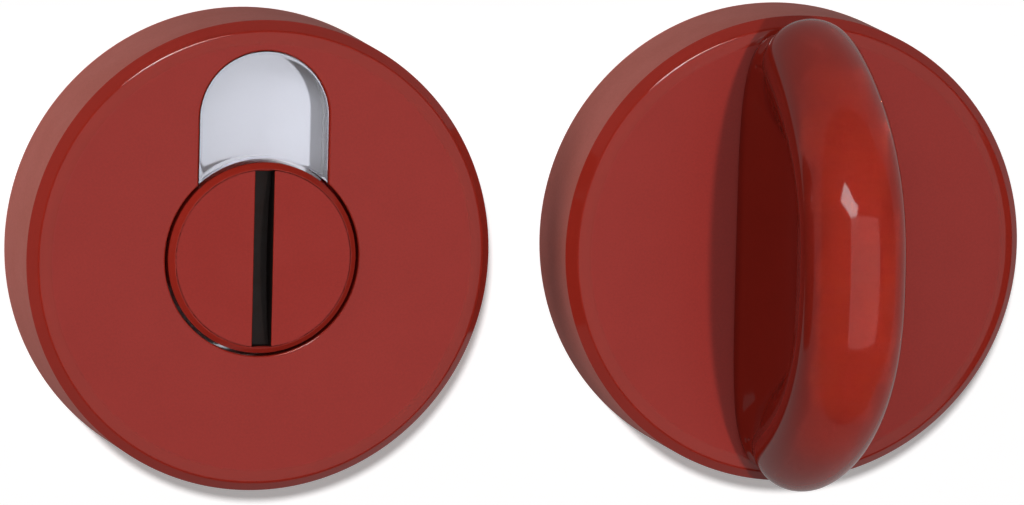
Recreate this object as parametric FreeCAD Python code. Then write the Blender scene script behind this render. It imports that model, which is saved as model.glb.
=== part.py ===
"""Bathroom thumb turn lock: the two round roses of one set, lying side by side on their flat backs.

The outside rose carries the indicator window and the coin release, the inside rose the thumb turn.
Millimetres, +Z out of the door face. The origin lies on the back plane, midway between the roses.
Each rose is drawn about its own axis and then moved to its place.
"""
import FreeCAD
import Part
import math
import os
from FreeCAD import Vector

# Places of the two roses
rose_pitch = 64.0           # distance between the two rose axes

# Caps
rose_d = 55.0               # diameter at the back edge
wall_draft = 0.1            # how much smaller the radius is at the top of the side wall
wall_h = 10.5               # height of the straight side wall
chamfer_w = 1.8             # width of the sloped ring, seen from the front
chamfer_h = 2.8             # height of the sloped ring
wall_t = 2.1                # thickness of the side wall at the back edge
top_t = 2.0                 # thickness of the front
face_corner_r = 2.0         # rounding between sloped ring and face
edge_r = 0.3                # rounding between side wall and sloped ring

# Snap lugs that hold a cap on its base plate
lug_count = 4
first_lug = 45.0            # degrees, direction of the first lug
lug_half_angle = 11.0       # degrees
lug_reach = 0.75            # how far a lug stands in from the cap's wall
lug_h = 0.9
lug_z = 0.7                 # height of a lug's underside above the back plane

# Base plates
plate_t = 4.0
plate_gap = 0.2             # between a plate's rim and the cap's wall
rim_step = 0.9              # the rim's undercut for the snap lugs
step_gap = 0.2              # between lug and rim, up and down
boss_r = 4.6                # round the fixing holes
boss_h = 1.2
pocket_depth = 2.2          # two kidney shaped pockets in the back
pocket_r_in = 13.0
pocket_wall = 2.3           # from a pocket to the undercut of the rim
pocket_half_angle = 34.0    # degrees

# Fixings
fixing_inset = 6.2          # from the plate's edge to the axis of a through bolt
insert_r = 2.9
insert_bore_r = 2.0
eyelet_r = 3.1
eyelet_bore_r = 2.15
fixing_proud = 0.1          # insert or eyelet above its boss

# Cores with the square socket
core_r = 6.8
square_w = 8.1
core_back_gap = 0.5         # from the back plane to the core's end
socket_depth = 11.0
groove_depth = 0.5
groove_slack = 0.05

# Circlips
circlip_t = 1.0
circlip_reach = 2.3         # how far the ring stands out from the core
circlip_z = 0.75
circlip_gap_direction = -90.0   # degrees
circlip_gap_half_angle = 24.0   # degrees
circlip_clear = 0.12        # from the ring to the bush

# Bushes, springs and washers
running_gap = 0.05          # between core and bush, on the radius
bush_t = 1.6
bush_flange_t = 0.6
bush_flange_reach = 1.3
flange_gap = 0.1            # round the flange, where a fixing boss comes near
recess_gap = 1.2            # round the circlip in the plate's back
spring_t = 0.25
spring_wave = 0.3           # half the height of the waves
spring_waves = 3
wave_points = 8             # points of the curve on each wave
spring_in_gap = 0.3         # between core and spring
spring_w = 1.5
washer_t = 0.5
washer_w = 1.9
axial_gap = 0.1             # between washer and what turns on it

# Rotation stops
travel = 90.0               # degrees
peg_half_angle = 7.0        # degrees
stop_slack = 1.0            # degrees left at each end of the travel
stop_r_out = 12.6
stop_w = 1.4                # width of peg and rib
stop_gap = 0.3              # between peg and plate, and between rib and what turns over it

# Coin release
hole_r = 11.45              # the hole in the outside cap
release_r = 11.1
release_proud = 0.65        # above the cap's face
release_edge_w = 0.65
release_edge_h = 0.6
release_edge_r = 0.2
release_body_h = 4.6        # from the front of the disc down to its hub
hub_shoulder_r = 10.0
hub_r = 9.0
hub_flat = 8.0              # from the axis to each of the two driving flats
hub_cap_t = 1.7             # left between slot and socket at the least
slot_w = 2.3
slot_end_gap = 0.1          # from the slot's end to the edge of the face
slot_depth_mid = 3.2
slot_depth_end = 1.5

# Indicator
disc_t = 1.0
disc_lift = 0.3             # from the hub's underside up to the plate
disc_edge_gap = 1.0         # between plate and cap wall
insert_depth = 0.4
insert_half_angle = 44.5    # degrees
insert_edge = 0.4           # white edge left outside the red sector
insert_r_in = 10.8

# Window
window_w = 15.4
window_edge_gap = 1.6       # from the top of the window to the edge of the face
lens_gap = 0.1              # round the lens
lens_proud = 0.1
lens_edge_r = 0.4
lens_flange = 1.2
lens_flange_t = 1.2
lens_air = 0.6              # between lens and indicator plate
lens_turn_gap = 0.05        # between the hole's edge and the lens's lower arc

# Thumb turn
turn_gap = 0.35             # from the cap's face to the turn's underside
journal_gap = 0.25          # between core and cap hole
foot_half_w = 7.4
foot_half_l = 25.6
foot_corner_r = 6.2         # the foot's ends are nearly half round
foot_edge_h = 0.9
waist_half_w = 4.0
waist_h = 10.5              # height of the narrowest place above the cap's face
neck_half_w = 5.2           # where the flanks run into the rim
neck_h = 21.6
rim_half_l = 22.2           # from the axis to the centre of the rim's end
rim_end_h = 4.0             # height of the rim's end centre above the cap's face
rim_crown_h = 23.3          # height of the rim's centre at the crown
rim_crown_r = 6.2
rim_end_r = 5.5
rim_reach_power = 0.8       # fullness of the arch along its length
rim_rise_power = 1.6        # fullness of the arch in height
rim_steps = 12
tang_t = 5.0
tang_w = 13.0
tang_h = 11.0
collar_r = 9.0
collar_t = 1.3

# Worked out from the sizes above
rose_r = rose_d / 2
edge_ring_r = rose_r - wall_draft
face_r = edge_ring_r - chamfer_w
face_z = wall_h + chamfer_h
ceiling_z = face_z - top_t
cavity_r = rose_r - wall_t
plate_r = cavity_r - plate_gap
lug_r = cavity_r - lug_reach
undercut_r = plate_r - rim_step
undercut_h = lug_z + lug_h + step_gap
pocket_r_out = undercut_r - pocket_wall
fixing_pitch = 2 * (plate_r - fixing_inset)
bush_in_r = core_r + running_gap
bush_out_r = bush_in_r + bush_t
bush_flange_r = bush_out_r + bush_flange_reach
circlip_in_r = core_r - groove_depth
circlip_out_r = core_r + circlip_reach
recess_r = circlip_out_r + recess_gap
recess_h = circlip_z + circlip_t + circlip_clear
flange_z = plate_t + bush_flange_t
spring_z = flange_z + spring_wave + spring_t / 2
washer_z = flange_z + 2 * spring_wave + spring_t
mover_z = washer_z + washer_t + axial_gap
disc_z = mover_z + disc_lift
disc_top_z = disc_z + disc_t
disc_r = cavity_r - disc_edge_gap
stop_r_in = stop_r_out - stop_w
release_peg = -travel / 2
turn_peg = travel / 2
release_top_z = face_z + release_proud
release_body_z = release_top_z - release_body_h
socket_roof_z = release_top_z - slot_depth_mid - hub_cap_t
window_r = window_w / 2
window_centre_y = face_r - window_edge_gap - window_r
lens_bottom_z = disc_top_z + lens_air
turn_z = face_z + turn_gap
arch_rise = rim_crown_h - rim_end_h
slot_half_l = release_r - release_edge_w - slot_end_gap
long_cut = 4 * rose_d       # longer than anything that is cut

x_axis = Vector(1, 0, 0)
y_axis = Vector(0, 1, 0)
z_axis = Vector(0, 0, 1)


def tube(outer_r, inner_r, z0, z1):
    """A ring, or a full cylinder where the inner radius is nought."""
    body = Part.makeCylinder(outer_r, z1 - z0, Vector(0, 0, z0))
    if inner_r > 0:
        body = body.cut(Part.makeCylinder(inner_r, z1 - z0, Vector(0, 0, z0)))
    return body


def sector(outer_r, inner_r, z0, z1, middle, half_angle):
    """A piece of a ring, centred on the direction `middle` in degrees."""
    outer = Part.makeCylinder(outer_r, z1 - z0, Vector(0, 0, z0), z_axis, 2 * half_angle)
    piece = outer.cut(Part.makeCylinder(inner_r, z1 - z0, Vector(0, 0, z0)))
    piece.rotate(Vector(), z_axis, middle - half_angle)
    return piece


def block(half_x, half_y, z0, z1):
    """A box centred on the axis."""
    return Part.makeBox(2 * half_x, 2 * half_y, z1 - z0, Vector(-half_x, -half_y, z0))


def rounded_edges(corners):
    """Edges through corners given as (point, radius), closed, with the round ones as arcs."""
    entries = []
    count = len(corners)
    for i, (point, radius) in enumerate(corners):
        if radius == 0:
            entries.append((point, None, point))
            continue
        back = (corners[i - 1][0] - point).normalize()
        ahead = (corners[(i + 1) % count][0] - point).normalize()
        half = back.getAngle(ahead) / 2
        reach = radius / math.tan(half)
        centre = point + (back + ahead).normalize() * (radius / math.sin(half))
        middle = centre + (point - centre).normalize() * radius
        entries.append((point + back * reach, middle, point + ahead * reach))
    edges = []
    for i, (start, middle, end) in enumerate(entries):
        if middle is not None:
            edges.append(Part.Arc(start, middle, end).toShape())
        edges.append(Part.makeLine(end, entries[(i + 1) % count][0]))
    return edges


def turned(corners):
    """A solid turned about the axis from (radius, height, rounding) corners."""
    points = [(Vector(radius, 0, height), rounding) for radius, height, rounding in corners]
    face = Part.Face(Part.Wire(rounded_edges(points)))
    return face.revolve(Vector(), z_axis, 360)


def fixing_holes(radius, z0, z1):
    """Two upright cylinders at the fixing pitch."""
    height = z1 - z0
    return [Part.makeCylinder(radius, height, Vector(0, side * fixing_pitch / 2, z0)) for side in (-1, 1)]


def cap():
    """The plain cap: side wall, sloped ring and face, open at the back, with its snap lugs."""
    outside = turned([
        (0, 0, 0),
        (rose_r, 0, 0),
        (edge_ring_r, wall_h, edge_r),
        (face_r, face_z, face_corner_r),
        (0, face_z, 0),
    ])
    shell = outside.cut(tube(cavity_r, 0, 0, ceiling_z))
    for i in range(lug_count):
        middle = first_lug + i * 360 / lug_count
        shell = shell.fuse(sector(cavity_r + plate_gap, lug_r, lug_z, lug_z + lug_h, middle, lug_half_angle))
    return shell


def window_outline(margin, z0, z1):
    """The window's prism, grown by the margin, reaching down to the axis."""
    radius = window_r + margin
    straight = Part.makeBox(2 * radius, window_centre_y, z1 - z0, Vector(-radius, 0, z0))
    round_top = Part.makeCylinder(radius, z1 - z0, Vector(0, window_centre_y, z0))
    return straight.fuse(round_top).removeSplitter()


def release_cover():
    """The outside cap, opened for the coin release and the window."""
    hole = tube(hole_r, 0, ceiling_z, face_z)
    return cap().cut(hole).cut(window_outline(0, ceiling_z, face_z))


def indicator_window():
    """The clear lens: a thick block with a flange under the cap and a rounded front edge."""
    front_z = face_z + lens_proud
    body = window_outline(-lens_gap, lens_bottom_z, front_z)
    flange = window_outline(lens_flange, ceiling_z - lens_flange_t, ceiling_z)
    inner_r = hole_r + lens_turn_gap
    clear_of_turn = tube(inner_r, 0, 0, long_cut)
    body = body.cut(clear_of_turn)
    front_edges = [e for e in body.Edges if all(abs(v.Z - front_z) < lens_gap / 2 for v in e.Vertexes)]
    body = body.makeFillet(lens_edge_r, front_edges)
    flange = flange.common(tube(cavity_r - lens_gap, inner_r, 0, face_z))
    return body.fuse(flange).removeSplitter()


def release_turn():
    """The coin release: disc, edge band, arc floored slot and hub with two driving flats."""
    front = release_top_z
    body = turned([
        (0, front, 0),
        (release_r - release_edge_w, front, release_edge_r),
        (release_r, front - release_edge_h, release_edge_r),
        (release_r, release_body_z, 0),
        (hub_shoulder_r, release_body_z, 0),
        (hub_shoulder_r, disc_top_z, 0),
        (hub_r, disc_top_z, 0),
        (hub_r, mover_z, 0),
        (core_r, mover_z, 0),
        (core_r, socket_roof_z, 0),
        (0, socket_roof_z, 0),
    ])
    flats = tube(hub_shoulder_r, 0, mover_z, disc_top_z)
    flats = flats.cut(block(hub_flat, hub_shoulder_r, mover_z, disc_top_z))
    body = body.cut(flats)
    sag = slot_depth_mid - slot_depth_end
    coin_r = (slot_half_l ** 2 + sag ** 2) / (2 * sag)
    coin_z = front - slot_depth_mid + coin_r
    coin = Part.makeCylinder(coin_r, slot_w, Vector(-slot_w / 2, 0, coin_z), x_axis)
    slot = block(slot_w / 2, slot_half_l, front - slot_depth_mid, front).common(coin)
    return body.cut(slot)


def hub_bore(z0, z1):
    """The bore with two flats in the indicator plate."""
    return tube(hub_r, 0, z0, z1).common(block(hub_flat, hub_r, z0, z1))


def engaged_sector():
    """The red sector, a quarter turn clockwise from the window."""
    low = disc_top_z - insert_depth
    return sector(disc_r - insert_edge, insert_r_in, low, disc_top_z, 0, insert_half_angle)


def stop_peg(z0, z1, middle):
    """The peg that runs between the two ends of the stop rib."""
    return sector(stop_r_out, stop_r_in, z0, z1, middle, peg_half_angle)


def indicator_disc():
    """The white plate on the hub, with the sector's recess and its stop peg underneath."""
    plate = tube(disc_r, 0, disc_z, disc_top_z).cut(hub_bore(disc_z, disc_top_z))
    plate = plate.cut(engaged_sector())
    return plate.fuse(stop_peg(plate_t + stop_gap, disc_z, release_peg)).removeSplitter()


def stop_rib(top_z):
    """The rib round the bush, open to the right, midway between the bosses, where the peg travels."""
    open_half = travel / 2 + peg_half_angle + stop_slack
    return sector(stop_r_out, stop_r_in, plate_t, top_z, 180, 180 - open_half)


def base_plate(fixing_r, rib_top_z):
    """A plate with undercut rim, fixing bosses, stop rib, bush seat, circlip recess and back pockets."""
    plate = tube(plate_r, 0, undercut_h, plate_t).fuse(tube(undercut_r, 0, 0, undercut_h))
    for boss in fixing_holes(boss_r, plate_t, plate_t + boss_h):
        plate = plate.fuse(boss)
    plate = plate.fuse(stop_rib(rib_top_z))
    cuts = fixing_holes(fixing_r, 0, plate_t + boss_h)
    cuts.append(tube(recess_r, 0, 0, recess_h))
    cuts.append(tube(bush_out_r, 0, recess_h, plate_t))
    cuts.append(tube(bush_flange_r + flange_gap, 0, plate_t, plate_t + boss_h))
    for side in (0, 180):
        cuts.append(sector(pocket_r_out, pocket_r_in, 0, pocket_depth, side, pocket_half_angle))
    for tool in cuts:
        plate = plate.cut(tool)
    return plate.removeSplitter()


def bush():
    """The flanged bearing bush."""
    body = tube(bush_out_r, bush_in_r, recess_h, plate_t)
    flange = tube(bush_flange_r, bush_in_r, plate_t, flange_z)
    return body.fuse(flange).removeSplitter()


def wave_spring():
    """A closed ring of thin strip that rises and falls round its circle."""
    def rail(radius, height):
        steps = wave_points * spring_waves
        points = []
        for i in range(steps):
            angle = 2 * math.pi * i / steps
            z = height + spring_wave * math.sin(spring_waves * angle)
            points.append(Vector(radius * math.cos(angle), radius * math.sin(angle), z))
        curve = Part.BSplineCurve()
        curve.interpolate(points, PeriodicFlag=True)
        return curve.toShape()

    inner_r = core_r + spring_in_gap
    outer_r = inner_r + spring_w
    low = spring_z - spring_t / 2
    high = spring_z + spring_t / 2
    rails = [rail(inner_r, low), rail(outer_r, low), rail(outer_r, high), rail(inner_r, high)]
    faces = [Part.makeRuledSurface(rails[i - 1], rails[i]) for i in range(len(rails))]
    return Part.makeSolid(Part.makeShell(faces))


def thrust_washer():
    """The flat washer on the spring."""
    inner_r = core_r + spring_in_gap
    return tube(inner_r + washer_w, inner_r, washer_z, washer_z + washer_t)


def circlip():
    """The open ring in the core's groove."""
    ring = tube(circlip_out_r, circlip_in_r, circlip_z, circlip_z + circlip_t)
    gap = sector(circlip_out_r + circlip_t, circlip_in_r / 2, circlip_z, circlip_z + circlip_t,
                 circlip_gap_direction, circlip_gap_half_angle)
    return ring.cut(gap)


def core(top_z, socket_z):
    """A core with its square socket and circlip groove."""
    body = tube(core_r, 0, core_back_gap, top_z)
    groove = tube(core_r + groove_depth, circlip_in_r, circlip_z - groove_slack,
                  circlip_z + circlip_t + groove_slack)
    square = block(square_w / 2, square_w / 2, core_back_gap, socket_z)
    return body.cut(groove).cut(square)


def release_core():
    """The core of the coin release, let into its hub."""
    return core(socket_roof_z, socket_roof_z)


def turn_core():
    """The core of the thumb turn, with collar, stop peg and tang."""
    body = core(turn_z, core_back_gap + socket_depth)
    collar = tube(collar_r, core_r - groove_depth, mover_z, mover_z + collar_t)
    arm = sector(stop_r_out, core_r - groove_depth, mover_z, mover_z + collar_t, turn_peg, peg_half_angle)
    peg = stop_peg(plate_t + stop_gap, mover_z, turn_peg)
    body = body.fuse([collar, arm, peg, tang()])
    return body.removeSplitter()


def tang():
    """The flat upright tongue that drives the fin."""
    blade = block(tang_t / 2, tang_w / 2, turn_z, turn_z + tang_h)
    return blade.common(tube(core_r, 0, turn_z, turn_z + tang_h))


def turn_cover():
    """The inside cap, with the hole for the core."""
    return cap().cut(tube(core_r + journal_gap, 0, ceiling_z, face_z))


def arch_point(angle):
    """A point of the rim's centre line; the angle runs from -90 to 90 degrees."""
    swing = math.sin(math.radians(angle))
    lift = max(math.cos(math.radians(angle)), 0.0)
    y = math.copysign(rim_half_l * abs(swing) ** rim_reach_power, swing)
    z = face_z + rim_end_h + arch_rise * lift ** rim_rise_power
    return Vector(0, y, z), rim_end_r + (rim_crown_r - rim_end_r) * lift


def rim():
    """The rounded rim: circles along the arch, closed by half balls."""
    step = 180 / rim_steps
    circles = []
    for i in range(rim_steps + 1):
        angle = -90 + i * step
        centre, radius = arch_point(angle)
        if i == 0:
            lean = 0
        elif i == rim_steps:
            lean = 180
        else:
            before = arch_point(angle - step / 2)[0]
            after = arch_point(angle + step / 2)[0]
            lean = math.degrees(math.atan2(after.y - before.y, after.z - before.z))
        circle = Part.Wire(Part.makeCircle(radius))
        circle.rotate(Vector(), x_axis, -lean)
        circle.translate(centre)
        circles.append(circle)
    bar = Part.makeLoft(circles, True)
    for angle in (-90, 90):
        centre, radius = arch_point(angle)
        bar = bar.fuse(Part.makeSphere(radius, centre, -z_axis, 0, 90, 360))
    return bar


def web():
    """The fin below the rim: hollow flanks on a wide foot, under the arch."""
    foot = Vector(foot_half_w, 0, turn_z)
    foot_top = Vector(foot_half_w, 0, turn_z + foot_edge_h)
    waist = Vector(waist_half_w, 0, face_z + waist_h)
    neck = Vector(neck_half_w, 0, face_z + neck_h)

    def mirrored(point):
        return Vector(-point.x, point.y, point.z)

    edges = [
        Part.makeLine(mirrored(foot), foot),
        Part.makeLine(foot, foot_top),
        Part.Arc(foot_top, waist, neck).toShape(),
        Part.makeLine(neck, mirrored(neck)),
        Part.Arc(mirrored(neck), mirrored(waist), mirrored(foot_top)).toShape(),
        Part.makeLine(mirrored(foot_top), mirrored(foot)),
    ]
    section = Part.Face(Part.Wire(edges))
    section.translate(y_axis * -foot_half_l)
    flanks = section.extrude(y_axis * (2 * foot_half_l))

    arch = [arch_point(-90 + i * 180 / rim_steps)[0] for i in range(rim_steps + 1)]
    curve = Part.BSplineCurve()
    curve.interpolate(arch)
    corners = [arch[-1], Vector(0, foot_half_l, turn_z + foot_edge_h), Vector(0, foot_half_l, turn_z),
               Vector(0, -foot_half_l, turn_z), Vector(0, -foot_half_l, turn_z + foot_edge_h), arch[0]]
    sides = [Part.makeLine(corners[i], corners[i + 1]) for i in range(len(corners) - 1)]
    side_face = Part.Face(Part.Wire([curve.toShape()] + sides))
    side_face.translate(x_axis * -foot_half_w)
    under_arch = side_face.extrude(x_axis * (2 * foot_half_w))

    plan_points = [(Vector(sx * foot_half_w, sy * foot_half_l, turn_z), foot_corner_r)
                   for sx, sy in ((-1, -1), (1, -1), (1, 1), (-1, 1))]
    plan = Part.Face(Part.Wire(rounded_edges(plan_points))).extrude(z_axis * rim_crown_h)
    return flanks.common(under_arch).common(plan)


def thumb_turn():
    """The grip: rim and web as one piece, flat underneath, with the tang's pocket."""
    grip = rim().fuse(web())
    grip = grip.cut(block(long_cut, long_cut, 0, turn_z))
    return grip.cut(tang()).removeSplitter()


def fixings(outer_r, bore_r):
    """The pair of inserts or eyelets in the fixing bosses."""
    top = plate_t + boss_h + fixing_proud
    solids = []
    for body, bore in zip(fixing_holes(outer_r, 0, top), fixing_holes(bore_r, 0, top)):
        solids.append(body.cut(bore))
    return Part.makeCompound(solids)


outside_rose = {
    "release_cover": release_cover(),
    "indicator_window": indicator_window(),
    "release_turn": release_turn(),
    "indicator_disc": indicator_disc(),
    "engaged_insert": engaged_sector(),
    "release_core": release_core(),
    "release_base_plate": base_plate(insert_r, disc_z - stop_gap),
    "release_bush": bush(),
    "release_wave_spring": wave_spring(),
    "release_thrust_washer": thrust_washer(),
    "release_circlip": circlip(),
    "threaded_inserts": fixings(insert_r, insert_bore_r),
}
inside_rose = {
    "turn_cover": turn_cover(),
    "thumb_turn": thumb_turn(),
    "turn_core": turn_core(),
    "turn_base_plate": base_plate(eyelet_r, mover_z - stop_gap),
    "turn_bush": bush(),
    "turn_wave_spring": wave_spring(),
    "turn_thrust_washer": thrust_washer(),
    "turn_circlip": circlip(),
    "screw_eyelets": fixings(eyelet_r, eyelet_bore_r),
}

os.makedirs("parts", exist_ok=True)
for rose, centre_x in ((outside_rose, -rose_pitch / 2), (inside_rose, rose_pitch / 2)):
    for node, shape in rose.items():
        shape.translate(x_axis * centre_x)
        shape.exportStep("parts/" + node + ".step")
        print(node, len(shape.Solids), shape.isValid(), round(shape.Volume, 1))
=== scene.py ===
"""Dresses the bathroom thumb turn lock: two round red nylon roses lying on their backs, one with the
indicator window and the coin release, the other with the thumb turn.

Sizes are millimetres in the classes below and become metres where a mesh is made. Each rose is drawn
about its own axis and moved to its place when its mesh is finished. +Z points out of the rose faces.
"""
import logging
import math
from dataclasses import dataclass, field
from enum import Enum

import bmesh
import bpy
import numpy as np
from mathutils import Matrix, Vector
from mathutils.geometry import delaunay_2d_cdt


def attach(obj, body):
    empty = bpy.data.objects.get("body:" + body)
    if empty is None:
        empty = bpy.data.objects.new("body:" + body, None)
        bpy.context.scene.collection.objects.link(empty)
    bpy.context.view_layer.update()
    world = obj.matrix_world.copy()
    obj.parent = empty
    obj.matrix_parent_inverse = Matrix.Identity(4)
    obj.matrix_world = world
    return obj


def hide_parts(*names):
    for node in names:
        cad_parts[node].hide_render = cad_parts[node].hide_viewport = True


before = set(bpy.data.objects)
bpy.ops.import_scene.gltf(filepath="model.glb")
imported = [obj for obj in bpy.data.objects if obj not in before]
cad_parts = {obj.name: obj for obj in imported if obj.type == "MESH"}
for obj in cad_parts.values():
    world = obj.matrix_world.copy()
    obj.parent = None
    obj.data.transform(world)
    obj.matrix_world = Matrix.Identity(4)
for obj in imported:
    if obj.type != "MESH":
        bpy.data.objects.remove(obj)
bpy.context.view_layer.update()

MM = 0.001
WELD = 0.002            # points nearer than this, in millimetres, are one point
ROSE_X = 32.0           # from the middle to each rose's axis
PHOTO_WIDTH = 1024      # pixels, as the focal length counts them
LEVEL_Z = 0.99999       # a face lies level where its normal's Z is more than this
FRONT_Z = 0.999         # and belongs to a front where it is more than this
NOISE_SPAN = {"From Min": 0.3, "From Max": 0.7}     # nearly all values of a noise lie in here
CLOUD_SPAN = {"From Min": 0.35, "From Max": 0.65}

log = logging.getLogger("lock")


# Colours and nodes

def linear(code: str) -> tuple[float, float, float, float]:
    """Turns an sRGB hex colour into Blender's linear colour.

    Args:
        code: six hex digits after a hash sign.

    Returns:
        Red, green, blue and alpha.
    """
    def channel(text: str) -> float:
        """Turns two hex digits into one linear channel."""
        value = int(text, 16) / 255
        return value / 12.92 if value <= 0.04045 else ((value + 0.055) / 1.055) ** 2.4

    return channel(code[1:3]), channel(code[3:5]), channel(code[5:7]), 1.0


def add_node(tree: bpy.types.NodeTree, kind: str, settings: dict | None = None,
             inputs: dict | None = None) -> bpy.types.Node:
    """Adds a node with its settings and input values or links.

    Args:
        tree: the shader or geometry tree.
        kind: Blender's name of the node.
        settings: the node's own properties.
        inputs: a value or an output socket for each input, by name or by number.

    Returns:
        The new node.
    """
    node = tree.nodes.new(kind)
    for name, value in (settings or {}).items():
        setattr(node, name, value)
    for name, value in (inputs or {}).items():
        socket = node.inputs[name]
        if isinstance(value, bpy.types.NodeSocket):
            tree.links.new(value, socket)
        else:
            socket.default_value = value
    return node


def new_material(name: str) -> tuple[bpy.types.Material, bpy.types.NodeTree]:
    """Makes an empty node material.

    Args:
        name: the material's name.

    Returns:
        The material and its node tree.
    """
    material = bpy.data.materials.new(name)
    material.use_nodes = True
    material.node_tree.nodes.clear()
    return material, material.node_tree


def object_coordinates(tree: bpy.types.NodeTree, centre: tuple[float, float, float],
                       stretch: tuple[float, float, float] = (1, 1, 1)) -> bpy.types.NodeSocket:
    """Gives object coordinates measured from a centre.

    Args:
        tree: the material's tree.
        centre: the pattern's centre in millimetres.
        stretch: how much the pattern is packed along each axis.

    Returns:
        The vector socket.
    """
    where = add_node(tree, "ShaderNodeTexCoord")
    shift = tuple(-c * MM * s for c, s in zip(centre, stretch))
    mapping = add_node(tree, "ShaderNodeMapping", {}, {"Vector": where.outputs["Object"],
                                                       "Location": shift, "Scale": stretch})
    return mapping.outputs["Vector"]


# Finishes

@dataclass(frozen=True)
class MouldedPlastic:
    """A moulded plastic: body colour with faint clouding, mould grain, and a slow waviness of the skin."""

    name: str
    colour: str
    cloud_colour: str
    roughness: float
    roughness_spread: float
    specular: float = 0.5
    ior: float = 1.53
    cloud_mm: float = 7.0
    grain_mm: float = 0.3
    grain_depth_mm: float = 0.0
    grain_tint: float = 0.0
    wave_mm: float = 6.0
    wave_depth_mm: float = 0.0
    translucency: float = 0.0
    centre: tuple[float, float, float] = (0.0, 0.0, 0.0)

    def build(self) -> bpy.types.Material:
        """Builds the material.

        Returns:
            The finished material.
        """
        material, tree = new_material(self.name)
        vector = object_coordinates(tree, self.centre)
        clouds = add_node(tree, "ShaderNodeTexNoise", {}, {
            "Vector": vector, "Scale": 1 / (self.cloud_mm * MM), "Detail": 4.0, "Roughness": 0.55})
        grain = add_node(tree, "ShaderNodeTexNoise", {}, {
            "Vector": vector, "Scale": 1 / (self.grain_mm * MM), "Detail": 2.0, "Roughness": 0.6})
        cloud_share = add_node(tree, "ShaderNodeMapRange", {}, {
            "Value": clouds.outputs["Fac"], **CLOUD_SPAN})
        body = add_node(tree, "ShaderNodeMix", {"data_type": "RGBA"}, {
            0: cloud_share.outputs["Result"], 6: linear(self.colour), 7: linear(self.cloud_colour)})
        speck = add_node(tree, "ShaderNodeMapRange", {}, {
            "Value": grain.outputs["Fac"], **NOISE_SPAN,
            "To Min": 1 - self.grain_tint, "To Max": 1 + self.grain_tint})
        tinted = add_node(tree, "ShaderNodeVectorMath", {"operation": "SCALE"}, {
            0: body.outputs[2], "Scale": speck.outputs["Result"]})
        gloss = add_node(tree, "ShaderNodeMapRange", {}, {
            "Value": clouds.outputs["Fac"], **NOISE_SPAN,
            "To Min": self.roughness - self.roughness_spread,
            "To Max": self.roughness + self.roughness_spread})
        waves = add_node(tree, "ShaderNodeTexNoise", {}, {
            "Vector": vector, "Scale": 1 / (self.wave_mm * MM), "Detail": 1.0})
        skin = add_node(tree, "ShaderNodeBump", {}, {
            "Height": waves.outputs["Fac"], "Distance": self.wave_depth_mm * MM, "Strength": 1.0})
        relief = add_node(tree, "ShaderNodeBump", {}, {
            "Height": grain.outputs["Fac"], "Distance": self.grain_depth_mm * MM, "Strength": 1.0,
            "Normal": skin.outputs["Normal"]})
        shader = add_node(tree, "ShaderNodeBsdfPrincipled", {}, {
            "Base Color": tinted.outputs["Vector"], "Roughness": gloss.outputs["Result"],
            "IOR": self.ior, "Specular IOR Level": self.specular, "Normal": relief.outputs["Normal"]})
        if self.translucency:
            shader.inputs["Subsurface Weight"].default_value = self.translucency
            shader.inputs["Subsurface Scale"].default_value = MM
        add_node(tree, "ShaderNodeOutputMaterial", {}, {"Surface": shader.outputs["BSDF"]})
        return material


@dataclass(frozen=True)
class ClearPlastic:
    """A clear cast plastic, polished all round, with the faintest haze of fine scratches."""

    name: str
    colour: str
    roughness: float
    ior: float
    scratch_mm: float
    scratch_depth_mm: float
    stretch: tuple[float, float, float] = (1, 0.12, 1)  # the scratches run along the lens

    def build(self) -> bpy.types.Material:
        """Builds the material.

        Returns:
            The finished material.
        """
        material, tree = new_material(self.name)
        vector = object_coordinates(tree, (-ROSE_X, 0, 0), self.stretch)
        scratches = add_node(tree, "ShaderNodeTexNoise", {}, {
            "Vector": vector, "Scale": 1 / (self.scratch_mm * MM), "Detail": 3.0})
        relief = add_node(tree, "ShaderNodeBump", {}, {
            "Height": scratches.outputs["Fac"], "Distance": self.scratch_depth_mm * MM})
        haze = add_node(tree, "ShaderNodeMapRange", {}, {
            "Value": scratches.outputs["Fac"], "From Min": 0.4, "From Max": 0.7,
            "To Min": self.roughness / 2, "To Max": self.roughness})
        shader = add_node(tree, "ShaderNodeBsdfPrincipled", {}, {
            "Base Color": linear(self.colour), "Roughness": haze.outputs["Result"], "IOR": self.ior,
            "Transmission Weight": 1.0, "Normal": relief.outputs["Normal"]})
        add_node(tree, "ShaderNodeOutputMaterial", {}, {"Surface": shader.outputs["BSDF"]})
        return material


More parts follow.
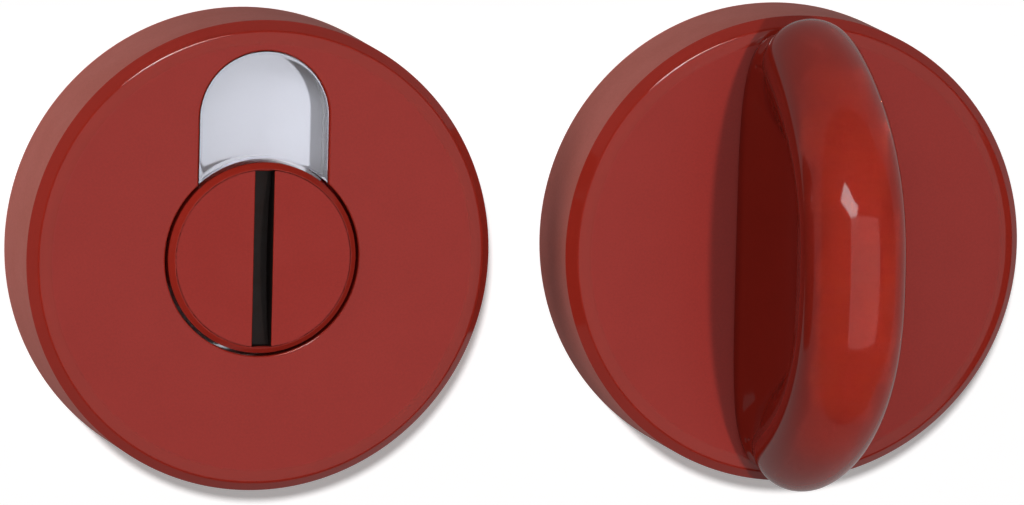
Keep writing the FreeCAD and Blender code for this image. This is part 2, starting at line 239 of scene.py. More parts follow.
@dataclass(frozen=True)
class TurnedMetal:
    """A machined metal: tool rings about the part's axis and a slightly uneven colour."""

    name: str
    colour: str
    stain_colour: str
    roughness: float
    ring_mm: float
    ring_depth_mm: float
    stain_mm: float = 2.5
    centre: tuple[float, float, float] = (0.0, 0.0, 0.0)

    def build(self) -> bpy.types.Material:
        """Builds the material.

        Returns:
            The finished material.
        """
        material, tree = new_material(self.name)
        vector = object_coordinates(tree, self.centre)
        rings = add_node(tree, "ShaderNodeTexWave", {"wave_type": "RINGS", "rings_direction": "Z"}, {
            "Vector": vector, "Scale": 1 / (self.ring_mm * MM) / 3, "Distortion": 0.6, "Detail": 1.0,
            "Detail Scale": 0.2})
        stains = add_node(tree, "ShaderNodeTexNoise", {}, {
            "Vector": vector, "Scale": 1 / (self.stain_mm * MM), "Detail": 3.0})
        body = add_node(tree, "ShaderNodeMix", {"data_type": "RGBA"}, {
            0: stains.outputs["Fac"], 6: linear(self.colour), 7: linear(self.stain_colour)})
        gloss = add_node(tree, "ShaderNodeMapRange", {}, {
            "Value": stains.outputs["Fac"], **NOISE_SPAN,
            "To Min": self.roughness * 0.8, "To Max": self.roughness * 1.25})
        relief = add_node(tree, "ShaderNodeBump", {}, {
            "Height": rings.outputs["Fac"], "Distance": self.ring_depth_mm * MM})
        shader = add_node(tree, "ShaderNodeBsdfPrincipled", {}, {
            "Base Color": body.outputs[2], "Roughness": gloss.outputs["Result"], "Metallic": 1.0,
            "Normal": relief.outputs["Normal"]})
        add_node(tree, "ShaderNodeOutputMaterial", {}, {"Surface": shader.outputs["BSDF"]})
        return material


class Finish(Enum):
    """The finishes of the lock, each what the real piece is made of, though the slot's colour holds painted
    shade and the side walls' colour a painted reflection.
    """

    # Polyamide moulded against a polished steel tool: deep red, and as glossy as wet paint
    GLOSS_NYLON = MouldedPlastic(
        name="red_nylon_moulded_gloss", colour="#8C241A", cloud_colour="#892319", roughness=0.075,
        roughness_spread=0.015, specular=0.2, wave_mm=5.0, wave_depth_mm=0.002, grain_mm=0.35,
        grain_depth_mm=0.0004, grain_tint=0.02)
    # The same polyamide against a spark eroded tool face: the fine grain spreads the light to a dusty red
    GRAINED_NYLON = MouldedPlastic(
        name="red_nylon_moulded_grained", colour="#8B241D", cloud_colour="#89231C", roughness=0.45,
        roughness_spread=0.03, specular=0.22, wave_mm=9.0, wave_depth_mm=0.002, grain_mm=0.25,
        grain_depth_mm=0.008, grain_tint=0.06)
    # The side walls, drawn out of a blasted cavity: a dull skin that mirrors next to nothing; its paler pink
    # is a painted reflection of the pale surroundings seen at a grazing angle
    SATIN_REFLECTION_NYLON = MouldedPlastic(
        name="red_nylon_satin_painted_reflection", colour="#A85C53", cloud_colour="#A4594F", roughness=0.68,
        roughness_spread=0.05, specular=0.12, wave_mm=9.0, wave_depth_mm=0.002, grain_mm=0.3,
        grain_depth_mm=0.006, grain_tint=0.06)
    # The coin slot's walls: rough from the eroded tool, and painted nearly black as painted shade for the
    # shade deep inside the narrow slot
    SLOT_SHADE_NYLON = MouldedPlastic(
        name="nylon_painted_slot_shade", colour="#191110", cloud_colour="#201715", roughness=0.6,
        roughness_spread=0.1, specular=0.3, cloud_mm=1.2, grain_mm=0.3, grain_depth_mm=0.01,
        grain_tint=0.1)
    # Cast acrylic: water clear, polished, bright along its edges
    CLEAR_ACRYLIC = ClearPlastic(
        name="clear_acrylic_polished", colour="#FAFBFF", roughness=0.03, ior=1.49, scratch_mm=0.9,
        scratch_depth_mm=0.0003)
    # White acetal, moulded satin: a cool even white
    WHITE_ACETAL = MouldedPlastic(
        name="white_acetal_satin", colour="#F2F4FD", cloud_colour="#EFF1FA", roughness=0.4,
        roughness_spread=0.05, ior=1.48, grain_mm=0.4, grain_depth_mm=0.004, centre=(-ROSE_X, 0, 0))
    # Signal red acetal in the same satin
    RED_ACETAL = MouldedPlastic(
        name="signal_red_acetal_satin", colour="#B5140F", cloud_colour="#AC120E", roughness=0.4,
        roughness_spread=0.05, ior=1.48, grain_mm=0.4, grain_depth_mm=0.004, centre=(-ROSE_X, 0, 0))
    # Glass filled polyamide: dull dark grey with a coarse flow grain
    GREY_NYLON = MouldedPlastic(
        name="grey_glass_filled_nylon", colour="#37383B", cloud_colour="#2E2F32", roughness=0.55,
        roughness_spread=0.08, cloud_mm=4.0, grain_mm=0.5, grain_depth_mm=0.02, grain_tint=0.12)
    # Natural acetal for bearings: milky white and waxy
    BEARING_ACETAL = MouldedPlastic(
        name="natural_acetal_moulded", colour="#DAD7CC", cloud_colour="#D2CFC3", roughness=0.35,
        roughness_spread=0.05, ior=1.48, grain_mm=0.4, grain_depth_mm=0.003, translucency=0.2)
    # Zinc plated steel, turned: cool grey with fine tool rings
    OUTSIDE_STEEL = TurnedMetal(
        name="zinc_plated_steel_turned_outside", colour="#B4B7BA", stain_colour="#A5A8AE", roughness=0.3,
        ring_mm=0.25, ring_depth_mm=0.004, centre=(-ROSE_X, 0, 0))
    INSIDE_STEEL = TurnedMetal(
        name="zinc_plated_steel_turned_inside", colour="#B4B7BA", stain_colour="#A5A8AE", roughness=0.3,
        ring_mm=0.25, ring_depth_mm=0.004, centre=(ROSE_X, 0, 0))
    # Oiled spring steel strip: dark, smooth, faintly brown
    SPRING_STEEL = TurnedMetal(
        name="spring_steel_oiled", colour="#6B6864", stain_colour="#5A5650", roughness=0.25,
        ring_mm=0.4, ring_depth_mm=0.001)
    # Free cutting brass, turned: warm yellow, bright rings round the bore
    BRASS = TurnedMetal(
        name="brass_turned", colour="#D5B06A", stain_colour="#C79F58", roughness=0.28,
        ring_mm=0.3, ring_depth_mm=0.003, centre=(-ROSE_X, 19, 0))

    @property
    def material(self) -> bpy.types.Material:
        """The finish's material, built on first use."""
        found = bpy.data.materials.get(self.value.name)
        return found or self.value.build()


# Outlines

@dataclass(frozen=True)
class Corner:
    """A corner of a turned profile: radius, height and the rounding there, in millimetres."""

    radius: float
    height: float
    rounding: float = 0.0


def rounded_profile(corners: list[Corner], step: float = 6.0,
                    hold: float = 0.1) -> list[tuple[float, float]]:
    """Rounds an open profile and adds a point on each side of a rounding, which keeps the flats flat.

    Args:
        corners: the corners in order; the first and last stay sharp.
        step: degrees of arc between points.
        hold: distance of the added points from the rounding.

    Returns:
        Points as (radius, height).
    """
    points: list[Vector] = []
    for i, corner in enumerate(corners):
        here = Vector((corner.radius, corner.height))
        if corner.rounding == 0:
            points.append(here)
            continue
        back = (Vector((corners[i - 1].radius, corners[i - 1].height)) - here).normalized()
        ahead = (Vector((corners[i + 1].radius, corners[i + 1].height)) - here).normalized()
        half = back.angle(ahead) / 2
        reach = corner.rounding / math.tan(half)
        centre = here + (back + ahead).normalized() * corner.rounding / math.sin(half)
        start = here + back * reach
        end = here + ahead * reach
        sweep = math.pi - 2 * half
        count = max(3, round(math.degrees(sweep) / step))
        first = start - centre
        turn = sweep if first.x * (end - centre).y - first.y * (end - centre).x > 0 else -sweep
        points.append(start + back * hold)
        for k in range(count + 1):
            angle = turn * k / count
            points.append(centre + Matrix.Rotation(angle, 2) @ first)
        points.append(end + ahead * hold)
    return [(p.x, p.y) for p in points]


def circle(radius: float, height: float, count: int) -> list[tuple[float, float, float]]:
    """A ring of points about the axis, counterclockwise from +X."""
    angles = (2 * math.pi * k / count for k in range(count))
    return [(radius * math.cos(a), radius * math.sin(a), height) for a in angles]


def spread(first: float, last: float, count: int) -> list[float]:
    """Evenly spaced values from first up to, but without, last."""
    return [first + (last - first) * k / count for k in range(count)]


def quarter(radius: float, count: int) -> list[tuple[float, float]]:
    """A quarter round from a front to a wall, as (distance in, depth) points."""
    steps = spread(0, math.pi / 2, count)
    return [(radius * (1 - math.sin(a)), radius * (1 - math.cos(a))) for a in steps] + [(0.0, radius)]


@dataclass
class Sheet:
    """Vertices and faces of a mesh in the making, in millimetres."""

    points: list[tuple[float, float, float]] = field(default_factory=list)
    faces: list[tuple[int, ...]] = field(default_factory=list)

    def loop(self, points: list[tuple[float, float, float]]) -> list[int]:
        """Adds a loop of points.

        Args:
            points: the loop's points.

        Returns:
            Their numbers.
        """
        start = len(self.points)
        self.points += points
        return list(range(start, start + len(points)))

    def band(self, lower: list[int], upper: list[int], closed: bool = True) -> None:
        """Joins two loops of the same count with quads.

        Args:
            lower: the first loop.
            upper: the second loop; faces point outwards where it lies to the left of the first.
            closed: whether the last pair joins the first.
        """
        count = len(lower)
        for k in range(count if closed else count - 1):
            n = (k + 1) % count
            self.faces.append((lower[k], lower[n], upper[n], upper[k]))

    def fill(self, outline: list[int], holes: list[list[int]], up: bool = True) -> None:
        """Fills a flat region between an outline and its holes with triangles.

        Args:
            outline: the outer loop.
            holes: loops left open.
            up: whether the faces point towards +Z.
        """
        numbers = outline + [n for hole in holes for n in hole]
        flat = [Vector(self.points[n][:2]) for n in numbers]
        edges = []
        start = 0
        for loop in [outline] + holes:
            edges += [(start + k, start + (k + 1) % len(loop)) for k in range(len(loop))]
            start += len(loop)
        result = delaunay_2d_cdt(flat, edges, [], 1, 1e-7, True)
        back = [sources[0] for sources in result[3]]
        rings = [np.array([self.points[n][:2] for n in loop]) for loop in [outline] + holes]
        for face in result[2]:
            middle = sum((result[0][k] for k in face), Vector((0, 0))) / len(face)
            inside = [encloses(ring, middle.x, middle.y) for ring in rings]
            if not inside[0] or any(inside[1:]):
                continue
            corners = [numbers[back[k]] for k in face]
            a, b, c = (Vector(self.points[n][:2]) for n in corners[:3])
            if ((b - a).cross(c - a) > 0) != up:
                corners.reverse()
            self.faces.append(tuple(corners))


def encloses(ring: np.ndarray, x: float, y: float) -> bool:
    """Tells whether a closed ring encloses a point.

    Args:
        ring: the ring's points, one in each row.
        x: the point's place across.
        y: the point's place along.

    Returns:
        True if the point is inside.
    """
    ahead = np.roll(ring, -1, axis=0)
    crosses = (ring[:, 1] > y) != (ahead[:, 1] > y)
    rise = np.where(crosses, ahead[:, 1] - ring[:, 1], 1.0)
    where = ring[:, 0] + (y - ring[:, 1]) * (ahead[:, 0] - ring[:, 0]) / rise
    return bool(np.count_nonzero(crosses & (where > x)) % 2)


# Geometry Nodes

def nodes_group(name: str, sockets: list[tuple[str, str, object]]
                ) -> tuple[bpy.types.NodeTree, bpy.types.Node]:
    """Starts a Geometry Nodes tree with named inputs.

    Args:
        name: the tree's name.
        sockets: name, socket type and default of each input after the geometry.

    Returns:
        The tree and its input node.
    """
    tree = bpy.data.node_groups.new(name, "GeometryNodeTree")
    tree.interface.new_socket("Geometry", in_out="INPUT", socket_type="NodeSocketGeometry")
    for label, kind, default in sockets:
        socket = tree.interface.new_socket(label, in_out="INPUT", socket_type=kind)
        if default is not None:
            socket.default_value = default
    tree.interface.new_socket("Geometry", in_out="OUTPUT", socket_type="NodeSocketGeometry")
    return tree, add_node(tree, "NodeGroupInput")


def close_group(tree: bpy.types.NodeTree, geometry: bpy.types.NodeSocket,
                finish: bpy.types.NodeSocket) -> None:
    """Ends a tree in Realize Instances and Set Material.

    Args:
        tree: the tree.
        geometry: what it has made.
        finish: the material input.
    """
    real = add_node(tree, "GeometryNodeRealizeInstances", {}, {"Geometry": geometry})
    dressed = add_node(tree, "GeometryNodeSetMaterial", {}, {
        "Geometry": real.outputs["Geometry"], "Material": finish})
    add_node(tree, "NodeGroupOutput", {}, {"Geometry": dressed.outputs["Geometry"]})


def turned_tree() -> bpy.types.NodeTree:
    """The rule of a turned piece: its profile, swept about the axis and closed on itself.

    Returns:
        The tree, with the number of steps and the finish as inputs.
    """
    found = bpy.data.node_groups.get("turned_piece")
    if found:
        return found
    tree, given = nodes_group("turned_piece", [
        ("Steps", "NodeSocketInt", 256), ("Weld Distance", "NodeSocketFloat", WELD * MM),
        ("Finish", "NodeSocketMaterial", None)])
    size = add_node(tree, "GeometryNodeAttributeDomainSize", {"component": "MESH"}, {
        0: given.outputs["Geometry"]})
    count = size.outputs["Point Count"]
    columns = add_node(tree, "ShaderNodeMath", {"operation": "ADD"}, {0: given.outputs["Steps"], 1: 1.0})
    grid = add_node(tree, "GeometryNodeMeshGrid", {}, {"Vertices X": columns.outputs[0], "Vertices Y": count})
    index = add_node(tree, "GeometryNodeInputIndex")
    row = add_node(tree, "ShaderNodeMath", {"operation": "FLOORED_MODULO"}, {0: index.outputs[0], 1: count})
    share = add_node(tree, "ShaderNodeMath", {"operation": "DIVIDE"}, {0: index.outputs[0], 1: count})
    column = add_node(tree, "ShaderNodeMath", {"operation": "FLOOR"}, {0: share.outputs[0]})
    fraction = add_node(tree, "ShaderNodeMath", {"operation": "DIVIDE"}, {
        0: column.outputs[0], 1: given.outputs["Steps"]})
    angle = add_node(tree, "ShaderNodeMath", {"operation": "MULTIPLY"}, {
        0: fraction.outputs[0], 1: 2 * math.pi})
    position = add_node(tree, "GeometryNodeInputPosition")
    sample = add_node(tree, "GeometryNodeSampleIndex", {"data_type": "FLOAT_VECTOR", "domain": "POINT"}, {
        "Geometry": given.outputs["Geometry"], "Value": position.outputs[0], "Index": row.outputs[0]})
    swung = add_node(tree, "ShaderNodeVectorRotate", {"rotation_type": "Z_AXIS"}, {
        "Vector": sample.outputs[0], "Angle": angle.outputs[0]})
    placed = add_node(tree, "GeometryNodeSetPosition", {}, {
        "Geometry": grid.outputs["Mesh"], "Position": swung.outputs["Vector"]})
    welded = add_node(tree, "GeometryNodeMergeByDistance", {}, {
        "Geometry": placed.outputs["Geometry"], "Distance": given.outputs["Weld Distance"]})
    close_group(tree, welded.outputs["Geometry"], given.outputs["Finish"])
    return tree


def around_tree() -> bpy.types.NodeTree:
    """The rule of what repeats round an axis: copies of one piece at even angles.

    Returns:
        The tree, with the count, the first angle and the finish as inputs.
    """
    found = bpy.data.node_groups.get("copies_round_axis")
    if found:
        return found
    tree, given = nodes_group("copies_round_axis", [
        ("Count", "NodeSocketInt", 4), ("First Angle", "NodeSocketFloat", 0.0),
        ("Finish", "NodeSocketMaterial", None)])
    line = add_node(tree, "GeometryNodeMeshLine", {"mode": "OFFSET"}, {
        "Count": given.outputs["Count"], "Offset": (0.0, 0.0, 0.0)})
    index = add_node(tree, "GeometryNodeInputIndex")
    step = add_node(tree, "ShaderNodeMath", {"operation": "DIVIDE"}, {
        0: 2 * math.pi, 1: given.outputs["Count"]})
    angle = add_node(tree, "ShaderNodeMath", {"operation": "MULTIPLY_ADD"}, {
        0: index.outputs[0], 1: step.outputs[0], 2: given.outputs["First Angle"]})
    turn = add_node(tree, "ShaderNodeCombineXYZ", {}, {"Z": angle.outputs[0]})
    copies = add_node(tree, "GeometryNodeInstanceOnPoints", {}, {
        "Points": line.outputs["Mesh"], "Instance": given.outputs["Geometry"], "Rotation": turn.outputs[0]})
    close_group(tree, copies.outputs["Instances"], given.outputs["Finish"])
    return tree


def grown_mesh(tree: bpy.types.NodeTree, source: Sheet, edges: list[tuple[int, int]],
               values: dict[str, object]) -> bpy.types.Mesh:
    """Runs a Geometry Nodes tree on a source mesh and keeps the result as a plain mesh.

    Args:
        tree: the tree.
        source: the points and faces it starts from.
        edges: loose edges of the source.
        values: the modifier's inputs by name.

    Returns:
        The plain mesh, in metres.
    """
    mesh = bpy.data.meshes.new("source")
    mesh.from_pydata([tuple(c * MM for c in p) for p in source.points], edges, source.faces)
    holder = bpy.data.objects.new("source", mesh)
    bpy.context.scene.collection.objects.link(holder)
    modifier = holder.modifiers.new("nodes", "NODES")
    modifier.node_group = tree
    for item in tree.interface.items_tree:
        if item.item_type == "SOCKET" and item.in_out == "INPUT" and item.name in values:
            modifier[item.identifier] = values[item.name]
    graph = bpy.context.evaluated_depsgraph_get()
    result = bpy.data.meshes.new_from_object(holder.evaluated_get(graph), depsgraph=graph)
    holder.modifiers.remove(modifier)
    bpy.data.objects.remove(holder)
    bpy.data.meshes.remove(mesh)
    return result


def turned_mesh(corners: list[Corner], finish: Finish, steps: int) -> bpy.types.Mesh:
    """Turns a profile into a mesh.

    Args:
        corners: the profile's corners.
        finish: the finish of the whole piece.
        steps: how many steps the circle has.

    Returns:
        The mesh, in metres.
    """
    points = rounded_profile(corners)
    source = Sheet([(r, 0.0, z) for r, z in points])
    edges = [(k, k + 1) for k in range(len(points) - 1)]
    return grown_mesh(turned_tree(), source, edges, {"Steps": steps, "Finish": finish.material})


class Joiner:
    """Collects the parts of one piece and welds them into one finished object."""

    def __init__(self, name: str, finishes: list[Finish]) -> None:
        """Starts a piece.

        Args:
            name: the piece's name.
            finishes: its finishes; the first is that of faces with no other.
        """
        self.name = name
        self.finishes = finishes
        self.work = bmesh.new()

    def add_mesh(self, mesh: bpy.types.Mesh) -> None:
        """Adds a mesh in metres and removes it from the file.

        Args:
            mesh: the mesh.
        """
        self.work.from_mesh(mesh)
        bpy.data.meshes.remove(mesh)

    def add_sheet(self, sheet: Sheet) -> None:
        """Adds points and faces in millimetres.

        Args:
            sheet: the points and faces.
        """
        made = [self.work.verts.new(Vector(p) * MM) for p in sheet.points]
        for face in sheet.faces:
            self.work.faces.new([made[n] for n in face])

    def finish(self, centre_x: float, rule: dict[Finish, object] | None = None,
               sharp_degrees: float = 35.0) -> bpy.types.Object:
        """Welds the parts, turns the faces outwards and makes the object.

        Args:
            centre_x: the rose axis that the piece moves to, in millimetres.
            rule: for a finish, a test of a face in metres about the piece's own axis.
            sharp_degrees: edges with a sharper turn stay crisp.

        Returns:
            The finished object, untransformed.
        """
        work = self.work
        bmesh.ops.remove_doubles(work, verts=work.verts, dist=WELD * MM)
        bmesh.ops.dissolve_degenerate(work, edges=work.edges, dist=WELD * MM / 10)
        bmesh.ops.recalc_face_normals(work, faces=work.faces)
        for face in work.faces:
            face.smooth = True
            face.material_index = 0
            for finish, test in (rule or {}).items():
                if test(face):
                    face.material_index = self.finishes.index(finish)
        limit = math.radians(sharp_degrees)
        for edge in work.edges:
            flats = {abs(face.normal.z) > LEVEL_Z for face in edge.link_faces}
            edge.smooth = len(edge.link_faces) == 2 and len(flats) == 1 and edge.calc_face_angle(0.0) < limit
        bmesh.ops.translate(work, verts=work.verts, vec=(centre_x * MM, 0, 0))
        mesh = bpy.data.meshes.new(self.name)
        work.to_mesh(mesh)
        work.free()
        for finish in self.finishes:
            mesh.materials.append(finish.material)
        piece = bpy.data.objects.new(self.name, mesh)
        bpy.context.scene.collection.objects.link(piece)
        return piece


# Sizes that the two roses share

@dataclass(frozen=True)
class CapSizes:
    """Sizes of the caps."""

    back_r: float = 27.5
    edge_r: float = 27.4
    crease_r: float = 26.3
    crease_z: float = 13.08
    crease_rounding: float = 0.45
    face_r: float = 25.2
    wall_h: float = 11.6
    face_z: float = 13.3
    cavity_r: float = 25.4
    ceiling_z: float = 11.3
    edge_rounding: float = 0.3
    face_rounding: float = 4.0
    back_rounding: float = 0.2
    ceiling_rounding: float = 0.4
    opening_rounding: float = 0.2
    face_ring: float = 0.85         # from the sharp edge in to the filled face
    opening_hold: float = 0.1       # the flat strip that is kept beside the opening's rounding
    lug_r: float = 24.65            # a snap lug's tip
    lug_root_r: float = 25.6        # its root, inside the wall
    lug_low: float = 0.7
    lug_high: float = 1.6
    lug_lead: tuple[float, float] = (0.25, 0.3)     # width and height of the slope on its way in
    lug_bevel: float = 0.1
    lug_half_angle: float = 11.0    # degrees
    lug_steps: int = 12
    lug_squareness: int = 8         # how squarely its ends fall away
    lugs: int = 4
    ceiling_ring: float = 0.8
    steps: int = 256

    def skin(self) -> list[Corner]:
        """The profile from the face's ring over the outside and back inside to the ceiling's ring.

        Returns:
            The corners.
        """
        return [
            Corner(self.face_r - self.face_ring, self.face_z),
            Corner(self.face_r, self.face_z, self.face_rounding),
            Corner(self.crease_r, self.crease_z, self.crease_rounding),
            Corner(self.edge_r, self.wall_h, self.edge_rounding),
            Corner(self.back_r, 0, self.back_rounding),
            Corner(self.cavity_r, 0, self.back_rounding),
            Corner(self.cavity_r, self.ceiling_z, self.ceiling_rounding),
            Corner(self.cavity_r - self.ceiling_ring, self.ceiling_z),
        ]

    def lug(self) -> Sheet:
        """One snap lug inside the back edge, with a sloped lead in.

        Returns:
            Its points and faces.
        """
        root, tip, low, high = self.lug_root_r, self.lug_r, self.lug_low, self.lug_high
        section = [(root, low), (tip + self.lug_lead[0], low), (tip, low + self.lug_lead[1]),
                   (tip, high - self.lug_bevel), (tip + self.lug_bevel, high), (root, high)]
        half = math.radians(self.lug_half_angle)
        sheet = Sheet()
        rings = []
        for k in range(self.lug_steps + 1):
            angle = -half + 2 * half * k / self.lug_steps
            ease = 1 - abs(2 * k / self.lug_steps - 1) ** self.lug_squareness
            reach = [(root - (root - r) * ease, z) for r, z in section]
            rings.append(sheet.loop([(r * math.cos(angle), r * math.sin(angle), z) for r, z in reach]))
        for lower, upper in zip(rings, rings[1:]):
            sheet.band(lower, upper)
        sheet.faces += [tuple(reversed(rings[0])), tuple(rings[-1])]
        return sheet

    def start(self, name: str, inner: list[Corner]) -> Joiner:
        """Starts a cap with its turned skin and its snap lugs.

        Args:
            name: the cap's name.
            inner: corners that follow on the skin's own.

        Returns:
            The piece in the making.
        """
        joiner = Joiner(name, [Finish.GLOSS_NYLON, Finish.GRAINED_NYLON, Finish.SATIN_REFLECTION_NYLON])
        joiner.add_mesh(turned_mesh(self.skin() + inner, Finish.GLOSS_NYLON, self.steps))
        joiner.add_mesh(grown_mesh(around_tree(), self.lug(), [], {
            "Count": self.lugs, "First Angle": math.pi / self.lugs,
            "Finish": Finish.GLOSS_NYLON.material}))
        return joiner

    def rule(self) -> dict[Finish, object]:
        """The tests for the grained face and the satin wall, whose paler colour holds a painted reflection.

        Returns:
            A test for each of the two finishes.
        """
        return {Finish.GRAINED_NYLON: lambda f: on_face(f, self.face_r, self.face_z),
                Finish.SATIN_REFLECTION_NYLON: lambda f: on_wall(f, self)}


def on_face(face: bmesh.types.BMFace, radius: float, height: float) -> bool:
    """Tells whether a face lies on a rose's front, within a radius.

    Args:
        face: the mesh face, about its own axis in metres.
        radius: the limit in millimetres.
        height: the front's height in millimetres.

    Returns:
        True if it does.
    """
    middle = face.calc_center_median()
    flat = face.normal.z > FRONT_Z
    return flat and abs(middle.z - height * MM) < WELD * MM and math.hypot(middle.x, middle.y) < radius * MM


def on_wall(face: bmesh.types.BMFace, cap: CapSizes) -> bool:
    """Tells whether a face belongs to a cap's outer side wall.

    Args:
        face: the mesh face, about its own axis in metres.
        cap: the cap's sizes.

    Returns:
        True if it does.
    """
    middle = face.calc_center_median() / MM
    return math.hypot(middle.x, middle.y) > cap.edge_r - cap.edge_rounding / 2 and middle.z < cap.wall_h


def in_slot(face: bmesh.types.BMFace, half_x: float, half_y: float, low: float, high: float) -> bool:
    """Tells whether a face lies in an upright box about a rose's axis.

    Args:
        face: the mesh face, about its own axis in metres.
        half_x: half the box's width in millimetres.
        half_y: half its length.
        low: the height of its floor.
        high: the height of its top.

    Returns:
        True if it does.
    """
    middle = face.calc_center_median() / MM
    return abs(middle.x) < half_x and abs(middle.y) < half_y and low < middle.z < high


@dataclass
class OutsideRose:
    """The outside half: cap with window opening, clear lens and coin release."""

    cap: CapSizes = field(default_factory=CapSizes)
    hole_r: float = 11.45
    window_r: float = 7.7
    window_y: float = 16.3
    side_steps: int = 20            # points along each straight side of the window
    top_steps: int = 72             # round its top
    over_steps: int = 60            # along its lower arc where that passes over the axis
    under_steps: int = 168          # and where it passes under it
    lens_gap: float = 0.1
    lens_front_z: float = 13.4
    lens_back_z: float = 7.95
    lens_arc_r: float = 11.5
    lens_edge: float = 0.4
    lens_rings: tuple[float, float] = (0.35, 0.08)  # flat strips kept beside its rounded edge
    lens_back_ring: float = 0.3
    lens_flange: float = 1.2
    lens_flange_t: float = 1.2
    disc_r: float = 11.1
    disc_front_z: float = 13.95
    disc_edge_w: float = 0.65
    disc_edge_h: float = 0.6
    disc_rounding: float = 0.2
    disc_ring: float = 0.09         # from the edge band in to the filled front
    disc_steps: int = 192
    body_z: float = 9.35
    body_rounding: float = 0.2
    shoulder_r: float = 10.0
    shoulder_rounding: float = 0.1
    plate_top_z: float = 7.35
    hub_r: float = 9.0
    hub_z: float = 6.05
    hub_flat: float = 8.0
    core_r: float = 6.8
    socket_roof_z: float = 9.05
    slot_w: float = 2.3
    slot_half_l: float = 10.2
    slot_depth_mid: float = 3.2
    slot_depth_end: float = 1.5
    slot_rounding: float = 0.08
    slot_steps: tuple[int, int] = (48, 8)   # points along and across it
    centre_x: float = -ROSE_X

    def outline(self, side: float, arc_r: float, z: float, over: bool) -> list[tuple[float, float, float]]:
        """The window's outline, counterclockwise from its lower right corner.

        Args:
            side: how much wider than the opening it is on each side.
            arc_r: radius of the arc below, about the rose's axis.
            z: height.
            over: whether the arc passes over the axis, as on the lens, or under it, as round the hole.

        Returns:
            The points.
        """
        radius = self.window_r + side
        angle = math.acos(radius / arc_r)
        corner_y = arc_r * math.sin(angle)
        points = [(radius, y, z) for y in spread(corner_y, self.window_y, self.side_steps)]
        points += [(radius * math.cos(a), self.window_y + radius * math.sin(a), z)
                   for a in spread(0, math.pi, self.top_steps)]
        points += [(-radius, y, z) for y in spread(self.window_y, corner_y, self.side_steps)]
        last = angle if over else angle + 2 * math.pi
        points += [(arc_r * math.cos(a), arc_r * math.sin(a), z)
                   for a in spread(math.pi - angle, last, self.over_steps if over else self.under_steps)]
        return points

    def build_cap(self) -> bpy.types.Object:
        """Builds the cap with its hole and window opening.

        Returns:
            The piece.
        """
        cap = self.cap
        joiner = cap.start("outside_cap", [])
        sheet = Sheet()
        rounding, hold = cap.opening_rounding, cap.opening_hold
        margins = [(rounding + hold, 0.0), (rounding + hold / 2, 0.0)] + quarter(rounding, 5)
        margins += [(0.0, rounding + 1.5 * hold), (0.0, cap.face_z - cap.ceiling_z)]
        loops = [sheet.loop(self.outline(m, self.hole_r + m, cap.face_z - d, False)) for m, d in margins]
        for upper, lower in zip(loops, loops[1:]):
            sheet.band(upper, lower)
        sheet.fill(sheet.loop(circle(cap.face_r - cap.face_ring, cap.face_z, cap.steps)), [loops[0]])
        ceiling = sheet.loop(circle(cap.cavity_r - cap.ceiling_ring, cap.ceiling_z, cap.steps))
        sheet.fill(ceiling, [loops[-1]], False)
        joiner.add_sheet(sheet)
        return joiner.finish(self.centre_x, cap.rule())

    def build_lens(self) -> bpy.types.Object:
        """Builds the clear lens: a thick block with a rounded front edge and a flange behind the face.

        Returns:
            The piece.
        """
        sheet = Sheet()
        gap, edge = self.lens_gap, self.lens_edge
        ceiling = self.cap.ceiling_z
        steps = [(gap + edge + ring, self.lens_front_z) for ring in self.lens_rings]
        steps += [(gap + m, self.lens_front_z - d) for m, d in quarter(edge, 8)] + [(gap, ceiling)]
        loops = [sheet.loop(self.outline(-m, self.lens_arc_r - gap + m, z, True)) for m, z in steps]
        low = ceiling - self.lens_flange_t
        flange = [(self.lens_flange, ceiling), (self.lens_flange, low), (-gap, low),
                  (-gap, self.lens_back_z), (-gap - self.lens_back_ring, self.lens_back_z)]
        loops += [sheet.loop(self.outline(m, self.lens_arc_r + max(0.0, -m - gap), z, True))
                  for m, z in flange]
        for upper, lower in zip(loops, loops[1:]):
            sheet.band(upper, lower)
        sheet.fill(loops[0], [])
        sheet.fill(loops[-1], [], False)
        joiner = Joiner("window_lens", [Finish.CLEAR_ACRYLIC])
        joiner.add_sheet(sheet)
        return joiner.finish(self.centre_x)

    def slot_floor(self, y: float) -> float:
        """The height of the slot's arc shaped floor.

        Args:
            y: the place along the slot.

        Returns:
            The height.
        """
        sag = self.slot_depth_mid - self.slot_depth_end
        radius = (self.slot_half_l ** 2 + sag ** 2) / (2 * sag)
        return self.disc_front_z - self.slot_depth_mid + radius - math.sqrt(radius ** 2 - y ** 2)

